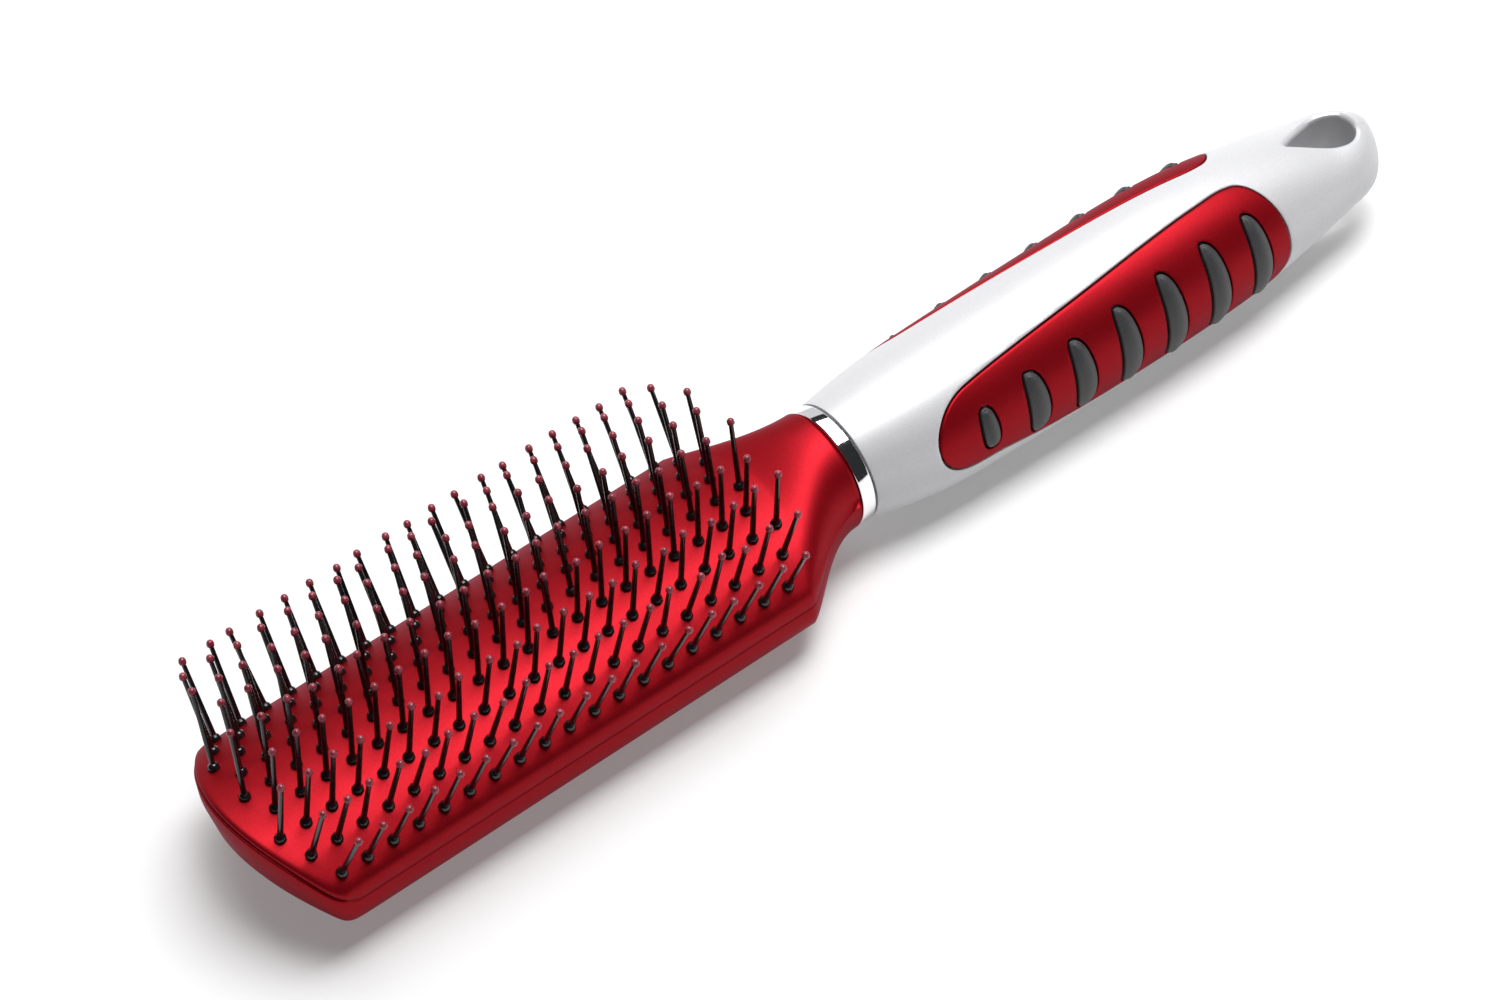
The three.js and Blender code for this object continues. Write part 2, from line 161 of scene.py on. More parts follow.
# %% Turn measures into places
MM = 0.001
LENGTH = 227.1
TOE_X = cad_high.x - LENGTH * MM  # the toe's place in the frame
print("toe at x in mm:", round(TOE_X * 1000, 1))


def at(x, y, z):
    """The place of a point given in millimetres."""
    return Vector((TOE_X + x * MM, y * MM, z * MM))


def mix(a, b, share):
    return a + (b - a) * share


def read(stations, x):
    """The values of [x, value, ...] stations at x, on a smooth curve."""
    i = 1
    while i < len(stations) - 1 and stations[i][0] < x:
        i += 1
    low, high = stations[i - 1], stations[i]
    before, after = stations[max(i - 2, 0)], stations[min(i + 1, len(stations) - 1)]
    span = high[0] - low[0]
    t = min(1.0, max(0.0, (x - low[0]) / span))
    values = []
    for k in range(1, len(low)):
        start = span * (high[k] - before[k]) / (high[0] - before[0])
        end = span * (after[k] - low[k]) / (after[0] - low[0])
        rise = high[k] - low[k]
        square = 3 * rise - 2 * start - end
        cube = start + end - 2 * rise
        values.append(low[k] + start * t + square * t ** 2 + cube * t ** 3)
    return values


# %% [markdown]
# ## Finishes
# The red is a pearl lacquer: fine metal flakes in a tinted varnish, so it glows where
# it faces the light and turns maroon where it doesn't. It could be a clear coat over
# a metal, but a metal-heavy mix with a dull edge tint is closer to the satin of the
# real paint. The silver is the same paint with more white pigment than metal. Each
# finish gets its colour, roughness and bump from noise in the piece's own
# coordinates, at the size that the real grain has.

# %% Mix the lacquers
def noise(nodes, links, coordinates, scale, detail=2.0):
    """A noise over the piece. scale is about the number of grains in a metre."""
    texture = nodes.new("ShaderNodeTexNoise")
    texture.inputs["Scale"].default_value = scale
    texture.inputs["Detail"].default_value = detail
    links.new(coordinates.outputs["Object"], texture.inputs["Vector"])
    return texture.outputs["Fac"]


def between(nodes, links, factor, low, high):
    """Turns a noise into a value that runs from low to high."""
    spread = nodes.new("ShaderNodeMapRange")
    spread.inputs["From Min"].default_value = 0.3
    spread.inputs["From Max"].default_value = 0.7
    spread.inputs["To Min"].default_value = low
    spread.inputs["To Max"].default_value = high
    links.new(factor, spread.inputs["Value"])
    return spread.outputs["Result"]


def two_tone(nodes, links, factor, low, high):
    """Turns a noise into a colour between two others."""
    ramp = nodes.new("ShaderNodeValToRGB")
    ramp.color_ramp.elements[0].position = 0.3
    ramp.color_ramp.elements[0].color = (*low, 1)
    ramp.color_ramp.elements[1].position = 0.7
    ramp.color_ramp.elements[1].color = (*high, 1)
    links.new(factor, ramp.inputs["Fac"])
    return ramp.outputs["Color"]


def bump(nodes, links, shader, height, strength, depth):
    """Adds a bump to a shader, on top of any that it has."""
    node = nodes.new("ShaderNodeBump")
    node.inputs["Strength"].default_value = strength
    node.inputs["Distance"].default_value = depth
    links.new(height, node.inputs["Height"])
    if shader.inputs["Normal"].is_linked:
        links.new(shader.inputs["Normal"].links[0].from_socket, node.inputs["Normal"])
    links.new(node.outputs["Normal"], shader.inputs["Normal"])


def pearl_lacquer(name, dark, light, metallic, roughness, edge_tint):
    material, nodes, links, shader = procedural(name)
    coordinates = nodes.new("ShaderNodeTexCoord")
    flakes = noise(nodes, links, coordinates, 5200, 1)
    links.new(two_tone(nodes, links, flakes, dark, light), shader.inputs["Base Color"])
    clouds = noise(nodes, links, coordinates, 70, 3)
    links.new(between(nodes, links, clouds, roughness - 0.03, roughness + 0.03), shader.inputs["Roughness"])
    shader.inputs["Metallic"].default_value = metallic
    shader.inputs["Specular Tint"].default_value = (*edge_tint, 1)
    bump(nodes, links, shader, flakes, 0.12, 0.00003)
    bump(nodes, links, shader, noise(nodes, links, coordinates, 420, 1), 0.08, 0.00005)
    return material


DULL_EDGE = (0.42, 0.42, 0.5)
PLAIN_EDGE = (1, 1, 1)
red_lacquer = pearl_lacquer("red_lacquer", (0.25, 0.002, 0.005), (0.34, 0.003, 0.009), 0.7, 0.47, DULL_EDGE)
pearl_silver = pearl_lacquer("pearl_silver", (0.53, 0.53, 0.545), (0.6, 0.6, 0.615), 0.18, 0.42, PLAIN_EDGE)

# %% [markdown]
# The other finishes are plain: moulded nylon, dipped tips, plating and rubber. Each
# could be one colour and one roughness, but real mouldings vary a little from place
# to place, so a noise moves both of them between two values.

# %% Mix the plain finishes
def black_nylon_finish():
    """Glossy nylon, with the faint flow marks of the mould."""
    material, nodes, links, shader = procedural("black_nylon")
    coordinates = nodes.new("ShaderNodeTexCoord")
    flow = noise(nodes, links, coordinates, 900)
    colour = two_tone(nodes, links, flow, (0.004, 0.003, 0.004), (0.012, 0.009, 0.01))
    links.new(colour, shader.inputs["Base Color"])
    links.new(between(nodes, links, flow, 0.13, 0.2), shader.inputs["Roughness"])
    return material


def tip_red_finish():
    """Dipped tips: a dull dark red under a thin gloss."""
    material, nodes, links, shader = procedural("tip_red")
    coordinates = nodes.new("ShaderNodeTexCoord")
    blotch = noise(nodes, links, coordinates, 1400)
    colour = two_tone(nodes, links, blotch, (0.16, 0.014, 0.026), (0.3, 0.045, 0.065))
    links.new(colour, shader.inputs["Base Color"])
    links.new(between(nodes, links, blotch, 0.2, 0.34), shader.inputs["Roughness"])
    return material


def chrome_finish():
    """Mirror plating with a few hair-fine polishing marks round the ring."""
    material, nodes, links, shader = procedural("chrome")
    coordinates = nodes.new("ShaderNodeTexCoord")
    stretch = nodes.new("ShaderNodeMapping")
    stretch.inputs["Scale"].default_value = (12, 1, 1)
    links.new(coordinates.outputs["Object"], stretch.inputs["Vector"])
    marks = nodes.new("ShaderNodeTexNoise")
    marks.inputs["Scale"].default_value = 900
    links.new(stretch.outputs["Vector"], marks.inputs["Vector"])
    colour = two_tone(nodes, links, marks.outputs["Fac"], (0.82, 0.82, 0.84), (0.93, 0.93, 0.94))
    links.new(colour, shader.inputs["Base Color"])
    links.new(between(nodes, links, marks.outputs["Fac"], 0.03, 0.09), shader.inputs["Roughness"])
    shader.inputs["Metallic"].default_value = 1
    return material


def grey_rubber_finish():
    """Soft-touch rubber: dull, with a fine even grain."""
    material, nodes, links, shader = procedural("grey_rubber")
    coordinates = nodes.new("ShaderNodeTexCoord")
    grain = noise(nodes, links, coordinates, 3800, 3)
    colour = two_tone(nodes, links, grain, (0.026, 0.026, 0.028), (0.048, 0.048, 0.051))
    links.new(colour, shader.inputs["Base Color"])
    links.new(between(nodes, links, grain, 0.42, 0.6), shader.inputs["Roughness"])
    bump(nodes, links, shader, grain, 0.25, 0.00004)
    return material


black_nylon = black_nylon_finish()
tip_red = tip_red_finish()
chrome = chrome_finish()
grey_rubber = grey_rubber_finish()

# %% [markdown]
# ## Tools for the mouldings
# Every shell of this brush is a patch of a curved surface with a thickness and a
# softened rim. One tool makes them all: a grid is laid on the surface, then its
# faces are extruded layer by layer, and each layer says how far it reaches
# outwards in its own surface and how high it stands. A solid with bevelled edges
# would also do, but layers round a curved rim without any chance of a torn bevel.

# %% Finish and patch tools
def face_outwards(bm):
    """Turns every face of a closed mesh outwards, whichever way the recalculation chose."""
    bmesh.ops.recalc_face_normals(bm, faces=bm.faces)
    if bm.calc_volume(signed=True) < 0:
        bmesh.ops.reverse_faces(bm, faces=bm.faces)


def show(bm, name, finish, slot, *nodes):
    """Puts a finished mesh in the scene as the piece that stands for the named solids."""
    face_outwards(bm)
    print(name, "faces:", len(bm.faces), "open edges:", sum(not e.is_manifold for e in bm.edges))
    mesh = bpy.data.meshes.new(name)
    bm.to_mesh(mesh)
    bm.free()
    mesh.materials.append(finish)
    mesh.shade_smooth()
    piece = bpy.data.objects.new(name, mesh)
    bpy.context.scene.collection.objects.link(piece)
    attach(piece, "root")
    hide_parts(*nodes)
    return piece


def raise_faces(bm, faces):
    """Extrudes faces and returns the new ones. Old faces stay only where they close the underside."""
    own = set(faces)
    walled = any(not own.issuperset(e.link_faces) for f in faces for e in f.edges)
    made = bmesh.ops.extrude_face_region(bm, geom=faces)["geom"]
    if walled:
        bmesh.ops.delete(bm, geom=faces, context="FACES")
    return [g for g in made if isinstance(g, bmesh.types.BMFace)]


def patch(columns, rows, layers, place):
    """A closed patch. place(along, across, grow, lift) gives a point, with along and across from 0 to 1."""
    bm = bmesh.new()
    bmesh.ops.create_grid(bm, x_segments=columns, y_segments=rows, size=0.5)
    along = bm.verts.layers.float.new("along")
    across = bm.verts.layers.float.new("across")
    for v in bm.verts:
        v[along], v[across] = v.co.x + 0.5, v.co.y + 0.5
        v.co = place(v[along], v[across], *layers[0])
    top = bm.faces[:]
    for layer in layers[1:]:
        top = raise_faces(bm, top)
        for v in {v for f in top for v in f.verts}:
            v.co = place(v[along], v[across], *layer)
    return bm


# %% [markdown]
# ## Cover of the head
# The cover is a thin shell, crowned across its width. Its toe is a shallow arc, its
# sides are straight, and behind the pins it narrows and rounds off into the neck.
# It could be carved from a block, but here it is one patch, from the toe to the
# ring: the neck is the same surface, eased from the crown into half of the ring's
# circle. That keeps the highlight unbroken. The rim is thinner at the toe, where
# the back shows most.

# %% Shape the head
CROWN_RADIUS = 29.2
CROWN_TOP = 21.4
HALF_WIDTH = 19.6
RING_RADIUS = 10.35
RING_CENTRE_Z = 14.03
NECK_END_X = 112.0
FIELD_SHARE = 0.8  # the share of the columns that the pin field takes
NECK_EASE = 1.2  # how gently the head begins to narrow into the neck
NECK_SEAM = 0.1  # each half keeps this far from the ring's centre line
CROWN_CENTRE_Z = CROWN_TOP - CROWN_RADIUS
COVER_THICKNESS = 2.0
TOE_LEDGE = 0.4  # the back stands out this far past the cover at the toe
TOE_THINNING = 1.0  # the cover's rim is this much thinner at the toe
THINNING_SLOPE = 60  # the rim has its full thickness after 1/60 of the columns


def rim_depth(along):
    """How far the cover's rim reaches down from the crown."""
    return COVER_THICKNESS - TOE_THINNING * max(0.0, 1 - along * THINNING_SLOPE)


def crown_height(radius, y):
    return CROWN_CENTRE_Z + math.sqrt(radius * radius - y * y)


TOE_RADIUS = 28
CORNER_SETBACK = 0.9  # the toe's corners are rounded back by this much
HEEL_X, HEEL_CORNER_X = 99.5, 95


def toe_x(y):
    return y * y / (2 * TOE_RADIUS) + CORNER_SETBACK * (y / HALF_WIDTH) ** 30


def heel_x(y):
    return mix(HEEL_X, HEEL_CORNER_X, (y / HALF_WIDTH) ** 2)


def head_column(along, y):
    """x, and how far the head has narrowed towards the ring, from 0 to 1."""
    if along < FIELD_SHARE:
        return mix(toe_x(y), heel_x(y), along / FIELD_SHARE), 0.0
    share = (along - FIELD_SHARE) / (1 - FIELD_SHARE)
    return mix(heel_x(y), NECK_END_X, share), math.sin(share * math.pi / 2) ** NECK_EASE


def cover_place(along, across, grow, lift):
    """lift runs from 0 at the crown to minus the thickness at the rim's lower edge."""
    share = 2 * across - 1
    flat_y = share * (HALF_WIDTH + grow)
    x, narrowing = head_column(along, share * HALF_WIDTH)
    if along < FIELD_SHARE:
        x += (TOE_LEDGE - grow) * (1 - along / FIELD_SHARE)
    ring_rise = RING_RADIUS * math.sqrt(max(0.0, 1 - share * share))
    top = mix(crown_height(CROWN_RADIUS, flat_y), RING_CENTRE_Z + ring_rise, narrowing)
    under = mix(crown_height(CROWN_RADIUS - rim_depth(along), flat_y), RING_CENTRE_Z + NECK_SEAM, narrowing)
    depth = min(-lift / COVER_THICKNESS, 1)
    return at(x, mix(flat_y, share * RING_RADIUS, narrowing), mix(top, under, depth))


COVER_RIM = [  # reach and lift of each layer, from the underside up to the crown
    (-0.9, -2.0),
    (-0.25, -2.0),
    (-0.07, -1.92),
    (0, -1.75),
    (0, -0.8),
    (-0.1, -0.4),
    (-0.33, -0.12),
    (-0.75, 0),
]
show(patch(150, 72, COVER_RIM, cover_place), "cover", red_lacquer, "red_lacquer", "head_cover")

# %% [markdown]
# ## Back of the head
# The back is a shallow hull. It rises towards the toe like the bow of a boat, and
# its sides round under to a narrow flat that the brush lies on. It is the same kind
# of patch as the cover, on the same columns, so the seam between the two is an even
# line. The last layer drops through to the underside, which closes the hull.

# %% Shape the back
HULL_HALF_WIDTH = 19.5
TOE_RISE_LENGTH = 20  # the underside rises towards the toe over this length
TOE_WALL = 4  # from the crown down to the lower edge of the toe's wall
SHOULDER = 10.1  # height of the round underside, before its flat is cut off
FLAT_SHARE = 0.35  # the share of the width that lies flat on the table
BLEND = 8  # how sharply the toe's rise and the rounded side meet
SEAM = 0.12  # the gap between the cover and the back
THROUGH = -99  # a lift that always reaches the underside


def round_under(share):
    """How far a rounded edge has risen, from 0 to 1."""
    return 1 - math.sqrt(max(0.0, 1 - share * share))


def back_place(along, across, grow, lift):
    """lift is measured from the roof, so it is 0 or less, and it stops at the underside."""
    share = math.sin((across - 0.5) * math.pi)
    x, narrowing = head_column(along, share * HALF_WIDTH)
    if along < FIELD_SHARE:
        x -= grow * (1 - along / FIELD_SHARE)
    y = share * (HULL_HALF_WIDTH + grow)
    roof = crown_height(CROWN_RADIUS - rim_depth(along) - SEAM, y)
    behind_toe = min(1.0, max(0.0, (x - toe_x(share * HALF_WIDTH)) / TOE_RISE_LENGTH))
    rise = (crown_height(CROWN_RADIUS, y) - TOE_WALL) * round_under(1 - behind_toe)
    side = SHOULDER * max(0.0, round_under(share) - round_under(FLAT_SHARE))
    floor = min((rise ** BLEND + side ** BLEND) ** (1 / BLEND), roof - 1)
    bow = math.sqrt(max(0.0, 1 - share * share)) * RING_RADIUS
    height = mix(max(roof + lift, floor), RING_CENTRE_Z - min(NECK_SEAM - lift, bow), narrowing)
    return at(x, mix(y, share * RING_RADIUS, narrowing), height)


BACK_RIM = [(-0.4, 0), (-0.15, -0.03), (-0.04, -0.1), (0, -0.25), (0, THROUGH)]
show(patch(150, 64, BACK_RIM, back_place), "back", red_lacquer, "red_lacquer", "head_base")

# %% [markdown]
# ## Pins
# Each pin is a slim nylon shaft on a ball foot, with a dipped ball at its tip. The
# rows fan out like fingers, and no two pins stand quite alike, so a seeded draw
# leans each one by a degree or two. An array modifier would make them all the same.
# The balls have few faces, because there are nearly two hundred of them. The tips
# are pieces of their own, because they have another finish.

# %% Plant the pins
ROWS = 9
ROW_ANGLE = 9  # degrees round the crown from row to row
LEAN_ANGLE = 7  # degrees that each row leans out from the one before
PITCH = 4.6
FIRST_PIN_X = 4.83
PIN_LENGTH = 13.75
END_ROW_PINS = 19
FIRST_TILT = 0.076  # radians that the first pin of a row tilts towards the handle
TILT_STEP = 0.003  # and how much less each next pin tilts
LEAN_SPREAD, TILT_SPREAD = 1.3, 1.2  # degrees
FOOT_RADIUS, FOOT_HEIGHT = 1.0, 0.25
TIP_RADIUS, TIP_STRETCH = 0.66, 1.12
SHAFT_BOTTOM, SHAFT_TOP = 0.6, PIN_LENGTH - 0.35
SHAFT_LOW_RADIUS, SHAFT_HIGH_RADIUS = 0.5, 0.38


def pin_places(row):
    outermost = abs(row) == ROWS // 2
    staggered = row % 2 != 0
    first = 1 if outermost else 0.5 if staggered else 0
    count = END_ROW_PINS if outermost else END_ROW_PINS + (1 if staggered else 2)
    return [first + i for i in range(count)]


def pin_matrix(row, step, draw):
    """Stands a pin on the crown: its foot at the origin of the matrix, its shaft along Z."""
    angle = math.radians(row * ROW_ANGLE)
    widest = ROWS // 2 * LEAN_ANGLE
    lean = math.radians(min(widest, max(-widest, row * LEAN_ANGLE + draw.gauss(0, LEAN_SPREAD))))
    forward = FIRST_TILT - TILT_STEP * step + math.radians(draw.gauss(0, TILT_SPREAD))
    foot_z = CROWN_CENTRE_Z + CROWN_RADIUS * math.cos(angle)
    foot = at(FIRST_PIN_X + step * PITCH, CROWN_RADIUS * math.sin(angle), foot_z)
    return Matrix.Translation(foot) @ Matrix.Rotation(-lean, 4, "X") @ Matrix.Rotation(forward, 4, "Y")


def ball(bm, matrix, height, radius, stretch=1.0):
    place = matrix @ Matrix.Translation((0, 0, height * MM)) @ Matrix.Diagonal((1, 1, stretch, 1))
    bmesh.ops.create_uvsphere(bm, u_segments=8, v_segments=6, radius=radius * MM, matrix=place)


def stem(bm, matrix, bottom, top, low_radius, high_radius):
    place = matrix @ Matrix.Translation((0, 0, (bottom + top) / 2 * MM))
    bmesh.ops.create_cone(
        bm,
        segments=8,
        radius1=low_radius * MM,
        radius2=high_radius * MM,
        depth=(top - bottom) * MM,
        matrix=place,
    )


draw = random.Random(7)
for number in range(1, ROWS + 1):
    row = number - 1 - ROWS // 2
    shafts, tips = bmesh.new(), bmesh.new()
    for step in pin_places(row):
        stand = pin_matrix(row, step, draw)
        ball(shafts, stand, FOOT_HEIGHT, FOOT_RADIUS)
        stem(shafts, stand, SHAFT_BOTTOM, SHAFT_TOP, SHAFT_LOW_RADIUS, SHAFT_HIGH_RADIUS)
        ball(tips, stand, PIN_LENGTH, TIP_RADIUS, TIP_STRETCH)
    show(shafts, f"pins_row_{number}", black_nylon, "black_nylon", f"pin_row_{number}")
    show(tips, f"pin_tips_row_{number}", tip_red, "black_nylon")

# %% [markdown]
# ## Neck ring
# The ring is plated and turned. A tube with bevelled ends would pass, but spinning
# its outline round the neck's axis is how a lathe would make it. Its two rims are
# rounded, because a mirror finish needs a soft edge to catch light.

# %% Spin the ring
RING_X = 113.6


def ring():
    bm = bmesh.new()
    half, edge, inner = 1.3, 0.35, 5.3
    outline = [(inner, -half), (RING_RADIUS - edge, -half)]
    for k in range(1, 5):
        turn = math.radians(22.5 * k)
        outline.append((RING_RADIUS - edge + edge * math.sin(turn), -half + edge - edge * math.cos(turn)))
    outline += [(r, -h) for r, h in reversed(outline)]
    verts = [bm.verts.new(at(RING_X + h, 0, RING_CENTRE_Z + r)) for r, h in outline]
    edges = [bm.edges.new(pair) for pair in zip(verts, verts[1:] + verts[:1])]
    centre = at(RING_X, 0, RING_CENTRE_Z)
    bmesh.ops.spin(
        bm, geom=verts + edges, cent=centre, axis=(1, 0, 0), angle=math.tau, steps=128, use_merge=True
    )
    return bm


show(ring(), "ring", chrome, "chrome", "neck_ring")

# %% [markdown]
# ## Handle
# The handle is a round bar that swells to fill the palm and flattens towards its
# end. A circle is extruded from station to station, as a potter pulls up a wall, and
# a smooth curve through a few stations gives its size at each ring. A lathe couldn't
# do it, because the section isn't round all along.

# %% Draw out the handle
HANDLE = [  # x, half width, top, underside, squareness of the section
    [115.2, 10.35, 24.38, 3.68, 0],
    [122.0, 11.7, 24.9, 2.1, 0],
    [130.0, 12.7, 25.3, 0.9, 0],
    [145.0, 13.1, 25.7, 0.2, 0],
    [160.0, 13.3, 25.8, 0.07, 0],
    [180.0, 13.3, 25.8, 0.07, 0],
    [192.0, 12.8, 24.9, 0.4, 0],
    [200.0, 11.9, 23.6, 1.1, 0],
    [208.0, 10.9, 21.8, 2.7, 0.02],
    [216.0, 9.75, 19.4, 4.8, 0.04],
    [219.5, 9.1, 18.9, 5.2, 0.05],
    [222.2, 8.1, 18.6, 5.5, 0.05],
    [224.2, 6.55, 18.2, 6.0, 0.05],
    [225.7, 4.65, 17.65, 6.6, 0.05],
    [226.6, 2.75, 16.8, 7.5, 0.05],
    [226.95, 1.6, 16.1, 8.3, 0.05],
    [227.08, 0.7, 15.3, 9.1, 0.05],
]


def handle_place(x, angle, side, lift):
    """A point on the handle. angle is in degrees down from the top line."""
    half_width, top, under, square = read(HANDLE, x)
    a = math.radians(angle)
    across = math.copysign(abs(math.sin(a)) ** (1 - square), math.sin(a))
    upward = math.copysign(abs(math.cos(a)) ** (1 - square), math.cos(a))
    y = side * (half_width * across + lift * math.sin(a))
    return at(x, y, (top + under) / 2 + (top - under) / 2 * upward + lift * math.cos(a))


def handle_bar(sides=112, rings=170, crowding=1.35):
    """The bar is extruded towards its end, where the rings lie closer together."""
    bm = bmesh.new()
    bmesh.ops.create_circle(bm, segments=sides, radius=1, cap_ends=True)
    spoke = bm.verts.layers.float.new("spoke")
    for v in bm.verts:
        v[spoke] = math.degrees(math.atan2(v.co.x, v.co.y))
        v.co = handle_place(HANDLE[0][0], v[spoke], 1, -0.3)
    cap = bm.faces[:]
    start, end = HANDLE[0][0], HANDLE[-1][0]
    stations = [(start, -0.08), (start + 0.12, 0.0)]
    for k in range(1, rings + 1):
        share = k / rings
        stations.append((mix(start + 0.3, end, 1 - (1 - share) ** crowding), 0.0))
    for x, lift in stations:
        cap = raise_faces(bm, cap)
        for v in cap[0].verts:
            v.co = handle_place(x, v[spoke], 1, lift)
    return bm


# %% [markdown]
# ## Grips
# Each grip is a red panel let into the handle's side, with seven rubber ribs let
# into the panel. Panel and ribs follow the handle's own surface, so their outlines
# are given as places along the handle and angles round it. A flat outline could be
# projected instead, but it would stretch where the handle curves under.

# %% Outline the grips
PANEL_START, PANEL_END = 127.0, 200.0
PANEL_NOSE, PANEL_TAIL = 8.5, 5.5  # lengths of the rounded ends
PANEL = [  # x, angle of the middle line, half of the angle that the panel covers
    [127, 76, 31],
    [137, 71, 33],
    [147, 73.25, 39.75],
    [160, 75.25, 46.75],
    [175, 75.25, 52.75],
    [187, 74, 56],
    [193, 73, 56.5],
    [200, 79, 56],
]
GRIP_RADIUS = 13  # turns a reach into an angle round the handle
ROUNDNESS = 2.2  # of the panel's ends, where 2 would be an ellipse


def panel_place(side):
    """The ends stop just short of the points where the outline would close."""
    def place(along, across, grow, lift):
        eased = (1 - math.cos(along * math.pi)) / 2
        x = mix(PANEL_START, PANEL_END, mix(0.0004, 0.9996, eased))
        nose = max(0.0, (PANEL_START + PANEL_NOSE - x) / PANEL_NOSE)
        tail = max(0.0, (x - PANEL_END + PANEL_TAIL) / PANEL_TAIL)
        middle, half = read(PANEL, x)
        half *= math.sqrt(1 - nose ** ROUNDNESS) * math.sqrt(1 - tail ** ROUNDNESS)
        angle = middle + (2 * across - 1) * (half + math.degrees(grow / GRIP_RADIUS))
        return handle_place(x + grow * (tail ** 2 - nose ** 2), angle, side, lift)

    return place


RIB_TOPS = [60, 54.5, 52, 48.8, 45.3, 43.3, 41]  # angle of each rib's upper tip
RIB_MARGINS = [10, 5, 6, 6, 6, 7, 9]  # angle between its lower tip and the panel's edge
FIRST_RIB_X, RIB_PITCH = 136.4, 9.5
FIRST_RIB_WIDTH, RIB_WIDTH = 3.0, 3.9
FIRST_RIB_BOW, RIB_BOW = 0.1, 0.75  # how far the middle bends towards the handle's end
RIBS = len(RIB_TOPS)


def rib_place(index, side):
    """A rib is a crescent: slim at both tips, a little wider towards its lower one, and crowned."""
    middle_x = FIRST_RIB_X + RIB_PITCH * index
    middle, half_angle = read(PANEL, middle_x)
    upper = RIB_TOPS[index]
    lower = middle + half_angle - RIB_MARGINS[index]
    width = FIRST_RIB_WIDTH if index == 0 else RIB_WIDTH
    bend = FIRST_RIB_BOW if index == 0 else RIB_BOW

    def place(along, across, grow, lift):
        grown = math.degrees(grow / GRIP_RADIUS)
        share = mix(0.003, 0.997, (1 - math.cos(across * math.pi)) / 2)
        angle = mix(upper - grown, lower + grown, share)
        girth = math.sqrt(1 - (2 * share - 1) ** 8) * (1 - 0.3 * (2 * share - 1) ** 2)
        half = (width / 2 * mix(0.82, 1.06, share) + grow) * girth
        bow = bend * (girth - 0.75)
        crown = lift * (1 - 0.5 * (2 * along - 1) ** 2) * girth ** 0.5 if lift > 0 else lift
        return handle_place(middle_x + bow + (2 * along - 1) * half, angle, side, crown)

    return place


# %% [markdown]
# ## Cutting and fitting
# The handle needs a recess for each panel and a hole to hang by, and each panel needs
# a slot for each rib. A boolean takes a cutter away from the piece. The cutters are
# patches on the same surface, a little larger than what they make room for, and they
# flare at the surface, which leaves a softened edge where a plain cut would be sharp.

# %% Cut the pieces
def cut(bm, cutters):
    """Takes the cutters away from a closed mesh and returns what is left."""
    objects = []
    for k, shape in enumerate([bm, *cutters]):
        face_outwards(shape)
        mesh = bpy.data.meshes.new(f"blank_{k}")
        shape.to_mesh(mesh)
        shape.free()
        objects.append(bpy.data.objects.new(f"blank_{k}", mesh))
        bpy.context.scene.collection.objects.link(objects[-1])
    for cutter in objects[1:]:
        tool = objects[0].modifiers.new("cut", "BOOLEAN")
        tool.operation = "DIFFERENCE"
        tool.solver = "EXACT"
        tool.object = cutter
    graph = bpy.context.evaluated_depsgraph_get()
    left = bmesh.new()
    left.from_object(objects[0], graph)
    for spare in objects:
        mesh = spare.data
        bpy.data.objects.remove(spare)
        bpy.data.meshes.remove(mesh)
    return left


def soften(piece, degrees=40):
    """Keeps the cut edges crisp and the broad faces smooth."""
    piece.data.set_sharp_from_angle(angle=math.radians(degrees))
    smooth = piece.modifiers.new("even_shading", "WEIGHTED_NORMAL")
    smooth.keep_sharp = True


GAP = 0.25  # round a panel in its recess
# Reach and lift of each layer, as on the cover's rim.
RECESS = [(GAP, -1.8), (GAP, -0.3), (GAP + 0.08, -0.1), (GAP + 0.3, 0.03), (GAP + 2.2, 1.5)]
PANEL_LAYERS = [(0, -1.5), (0, -0.3), (-0.06, -0.12), (-0.16, -0.03), (-0.35, 0.0)]
SLOT = [(0.42, -2.2), (0.42, -0.25), (0.48, -0.08), (0.62, 0.06), (1.8, 1.2)]
RIB_LAYERS = [(0, -1.5), (0, 0.0), (-0.06, 0.32), (-0.22, 0.56), (-0.5, 0.7)]


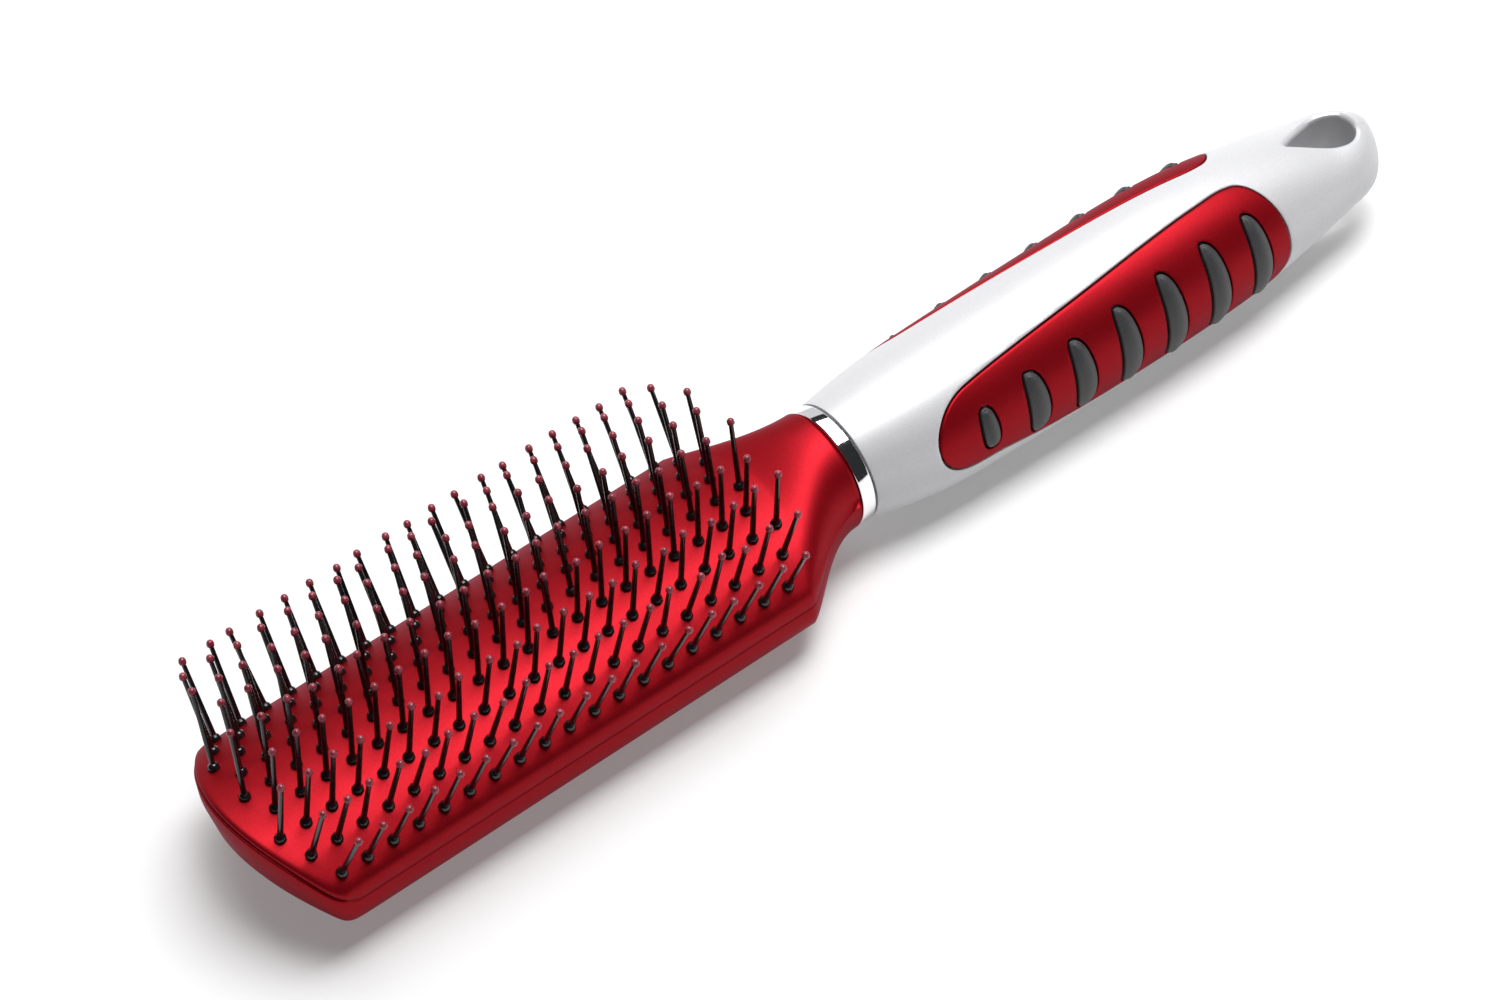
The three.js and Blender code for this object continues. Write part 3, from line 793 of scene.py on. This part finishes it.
def hole_cutter():
    """A teardrop post that flares at the handle's upper and lower surfaces."""
    bm = bmesh.new()
    tip_x, widest_x, end_x, half_width = 209.6, 219.6, 223.4, 3.9
    power = math.log(0.5) / math.log((widest_x - tip_x) / (end_x - tip_x))
    fullness = 0.44  # a smaller power gives a blunter tip
    points = 72
    outline = []
    for k in range(points):
        share = (1 - math.cos(math.tau * k / points)) / 2
        y = half_width * abs(math.sin(math.pi * share ** power)) ** fullness
        outline.append(Vector((mix(tip_x, end_x, share), -y if k < points / 2 else y)))
    outward = []
    for k, point in enumerate(outline):
        run = outline[(k + 1) % points] - outline[k - 1]
        outward.append(Vector((run.y, -run.x)).normalized())

    def ring_of(face, offset, grow):
        """A ring offset from the handle's upper face, 1, or lower face, -1."""
        verts = []
        for point, out in zip(outline, outward):
            x, y = point + out * grow
            handle_width, top, under, _ = read(HANDLE, x)
            swell = math.sqrt(max(0.05, 1 - (y / handle_width) ** 2))
            level = (top + under) / 2 + face * (top - under) / 2 * swell + offset
            verts.append(bm.verts.new(at(x, y, level)))
        for pair in zip(verts, verts[1:] + verts[:1]):
            bm.edges.new(pair)
        return verts

    profile = [  # face, offset and reach of each ring, from below the handle to above it
        (-1, -3, 3.2),
        (-1, -0.05, 0.75),
        (-1, 0.25, 0.3),
        (-1, 0.9, 0),
        (1, -1.1, 0),
        (1, -0.35, 0.3),
        (1, 0.05, 0.8),
        (1, 3, 3.6),
    ]
    rings = [ring_of(*level) for level in profile]
    for low, high in zip(rings, rings[1:]):
        edges = [e for e in bm.edges if all(v in low or v in high for v in e.verts)]
        bmesh.ops.bridge_loops(bm, edges=edges)
    bm.faces.new(rings[0])
    bm.faces.new(rings[-1])
    return bm


# %% [markdown]
# With the cutters made, the handle is cut first and then each panel. Only the cut
# pieces need their shading mended, because a cut leaves long thin faces. The ribs
# need no cutting, and each stands in its slot with a gap all round.

# %% Make the handle and the grips
recesses = [patch(120, 24, RECESS, panel_place(side)) for side in (-1, 1)]
body = cut(handle_bar(), [*recesses, hole_cutter()])
soften(show(body, "handle", pearl_silver, "pearl_silver", "handle_body"))

for hand, side in (("right", -1), ("left", 1)):
    slots = [patch(12, 28, SLOT, rib_place(index, side)) for index in range(RIBS)]
    panel = cut(patch(150, 48, PANEL_LAYERS, panel_place(side)), slots)
    soften(show(panel, f"grip_{hand}", red_lacquer, "red_lacquer", f"grip_panel_{hand}"))
    for index in range(RIBS):
        rib = patch(12, 28, RIB_LAYERS, rib_place(index, side))
        show(rib, f"rib_{hand}_{index + 1}", grey_rubber, "grey_rubber", f"grip_rib_{hand}_{index + 1}")

# %% [markdown]
# ## Hidden tang
# The rod inside the neck isn't seen, so a finer mesh would be wasted on it. It is
# still one of the part's solids, so it keeps its own shape and gets a plain moulded
# finish of its own.

# %% Finish the tang
def inner_plastic_finish():
    material, nodes, links, shader = procedural("inner_plastic")
    coordinates = nodes.new("ShaderNodeTexCoord")
    grain = noise(nodes, links, coordinates, 1500, 2)
    colour = two_tone(nodes, links, grain, (0.3, 0.3, 0.3), (0.38, 0.38, 0.38))
    links.new(colour, shader.inputs["Base Color"])
    links.new(between(nodes, links, grain, 0.5, 0.65), shader.inputs["Roughness"])
    return material


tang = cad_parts["tang"]
tang.data.materials.clear()
tang.data.materials.append(inner_plastic_finish())
print("tang faces:", len(tang.data.polygons))

# %% Write the sizes and finish
low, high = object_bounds()
for name, a, b in (("low", cad_low, low), ("high", cad_high, high)):
    print(name, "solids", [round(c * 1000, 2) for c in a], "looks", [round(c * 1000, 2) for c in b])
